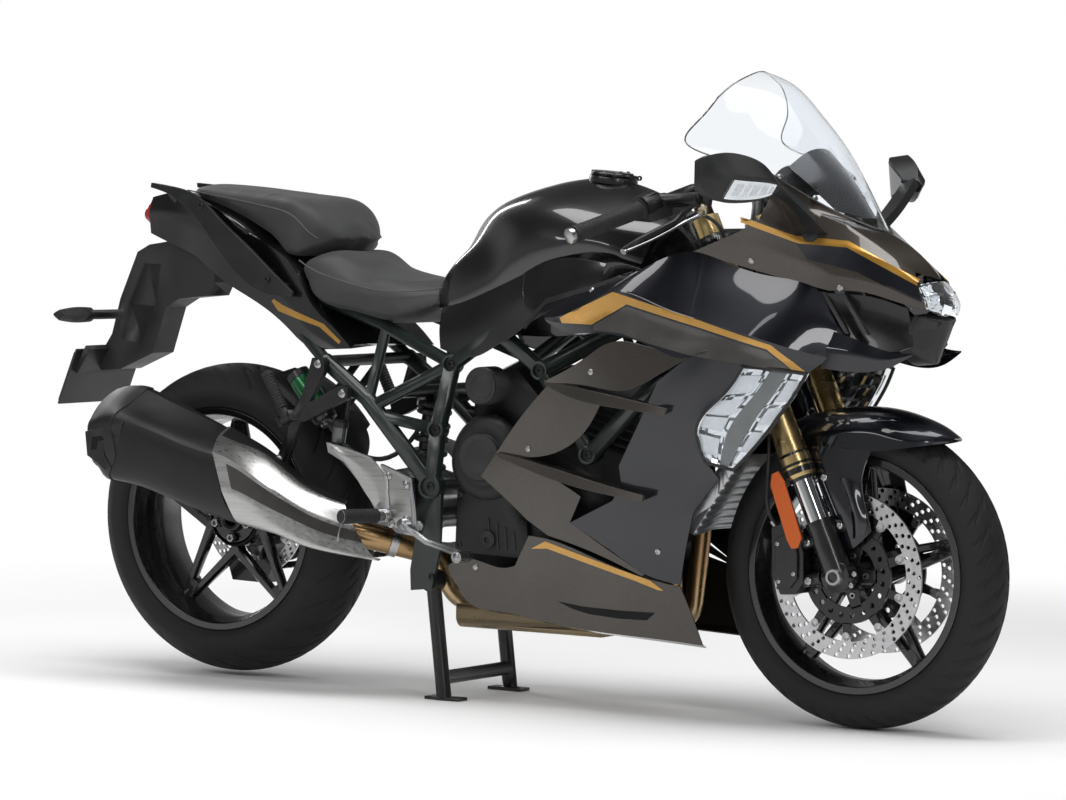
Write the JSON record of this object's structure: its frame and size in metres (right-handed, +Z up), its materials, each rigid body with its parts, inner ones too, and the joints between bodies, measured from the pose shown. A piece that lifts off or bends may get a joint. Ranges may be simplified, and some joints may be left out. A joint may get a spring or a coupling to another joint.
{
  "type": "sport touring motorcycle",
  "caption": "Faired road motorcycle for two riders, with a single-sided swingarm, chain drive, trellis frame and centre stand.",
  "frame": {"origin": "on the ground, under the middle of the machine's bounding box", "axes": "+X towards the front wheel, +Y to the rider's left, +Z up"},
  "size_m": [2.175, 0.792, 1.26],
  "materials": {
    "tyre": "matt road rubber",
    "wheel_black": "gloss black cast alloy",
    "disc_steel": "ground stainless",
    "chain_steel": "oiled steel",
    "frame_green": "dark green black powder coat",
    "engine_black": "matt black cast aluminium",
    "radiator_silver": "bare corrugated core",
    "exhaust_bronze": "heat tinted titanium tube",
    "silencer_black": "matt black",
    "silver_plate": "brushed",
    "silver_cast": "satin cast alloy",
    "shock_black": "satin",
    "black_plastic": "grained black",
    "caliper_black": "satin black",
    "tank_black": "gloss black lacquer",
    "cap_black": "satin black",
    "seat_cover": "matt grey black vinyl",
    "bronze_paint": "metallic bronze grey lacquer",
    "rail_grey": "matt dark grey",
    "lamp_red": "red lens",
    "plate_dark": "blank plate",
    "blue_black_paint": "metallic near black blue lacquer",
    "lamp_clear": "clear lens",
    "screen_clear": "clear sheet",
    "fork_gold": "champagne gold anodised",
    "fork_chrome": "hard chrome",
    "bar_black": "satin black",
    "grip_rubber": "ribbed rubber",
    "stand_black": "satin black"
  },
  "bodies": {
    "root": {"frame": "frame_green", "engine_block": "engine_black", "engine_covers": "engine_black", "radiator": "radiator_silver", "exhaust_headers": "exhaust_bronze", "muffler": "silencer_black", "muffler_shield": "silver_plate", "swingarm": "silver_cast", "rear_shock": "shock_black", "chain": "chain_steel", "rear_mudguard": "black_plastic", "rear_caliper": "caliper_black", "fuel_tank": "tank_black", "rider_seat": "seat_cover", "passenger_seat": "seat_cover", "tail_cowl": "bronze_paint", "grab_rails": "rail_grey", "tail_lamp": "lamp_red", "plate_holder": "black_plastic", "number_plate": "plate_dark", "side_covers": "tank_black", "upper_cowl": "bronze_paint", "side_cowls": "blue_black_paint", "louvre_panels": "bronze_paint", "front_side_panels": "blue_black_paint", "lower_cowl": "bronze_paint", "cornering_lamps": "lamp_clear", "headlamp": "lamp_clear", "windscreen": "screen_clear", "instrument_cowl": "black_plastic", "mirrors": "blue_black_paint", "rider_footrests": "silver_cast", "peg_brackets": "black_plastic"},
    "fuel_cap": {"fuel_cap": "cap_black"},
    "steering": {"fork_upper": "fork_gold", "fork_lower": "fork_chrome", "front_fender": "blue_black_paint", "front_calipers": "caliper_black", "handlebars": "bar_black", "hand_grips": "grip_rubber"},
    "front_wheel": {"front_tyre": "tyre", "front_rim": "wheel_black", "front_discs": "disc_steel"},
    "rear_wheel": {"rear_tyre": "tyre", "rear_rim": "wheel_black", "rear_disc": "disc_steel", "rear_sprocket": "disc_steel"},
    "centre_stand": {"centre_stand": "stand_black"},
    "side_stand": {"side_stand": "stand_black"},
    "passenger_peg_left": {"passenger_peg_left": "rail_grey"},
    "passenger_peg_right": {"passenger_peg_right": "rail_grey"}
  },
  "joints": [
    {"name": "steering", "type": "hinge", "parent": "root", "child": "steering", "pos_m": [0.89048, 0, 0], "axis": [-0.4179, 0, 0.9085], "range_deg": [-30, 30]},
    {"name": "front_wheel_spin", "type": "hinge", "parent": "steering", "child": "front_wheel", "pos_m": [0.7875, 0, 0.3], "axis": [0, 1, 0], "continuous": true},
    {"name": "rear_wheel_spin", "type": "hinge", "parent": "root", "child": "rear_wheel", "pos_m": [-0.6925, 0, 0.3285], "axis": [0, 1, 0], "continuous": true},
    {"name": "centre_stand_fold", "type": "hinge", "parent": "root", "child": "centre_stand", "pos_m": [-0.128, 0, 0.238], "axis": [0, 1, 0], "range_deg": [0, 97]},
    {"name": "side_stand_fold", "type": "hinge", "parent": "root", "child": "side_stand", "pos_m": [-0.108, 0.188, 0.236], "axis": [-0.1154, -0.8712, -0.4772], "range_deg": [0, 106]},
    {"name": "passenger_peg_right_fold", "type": "hinge", "parent": "root", "child": "passenger_peg_right", "pos_m": [-0.436, -0.2, 0.552], "axis": [0.8779, 0, 0.4789], "range_deg": [0, 90]},
    {"name": "passenger_peg_left_fold", "type": "hinge", "parent": "root", "child": "passenger_peg_left", "pos_m": [-0.436, 0.2, 0.552], "axis": [-0.8779, 0, -0.4789], "range_deg": [0, 90]},
    {"name": "fuel_cap_lid", "type": "hinge", "parent": "root", "child": "fuel_cap", "pos_m": [0.258, 0, 1.048], "axis": [0, 1, 0], "range_deg": [0, 95]}
  ]
}
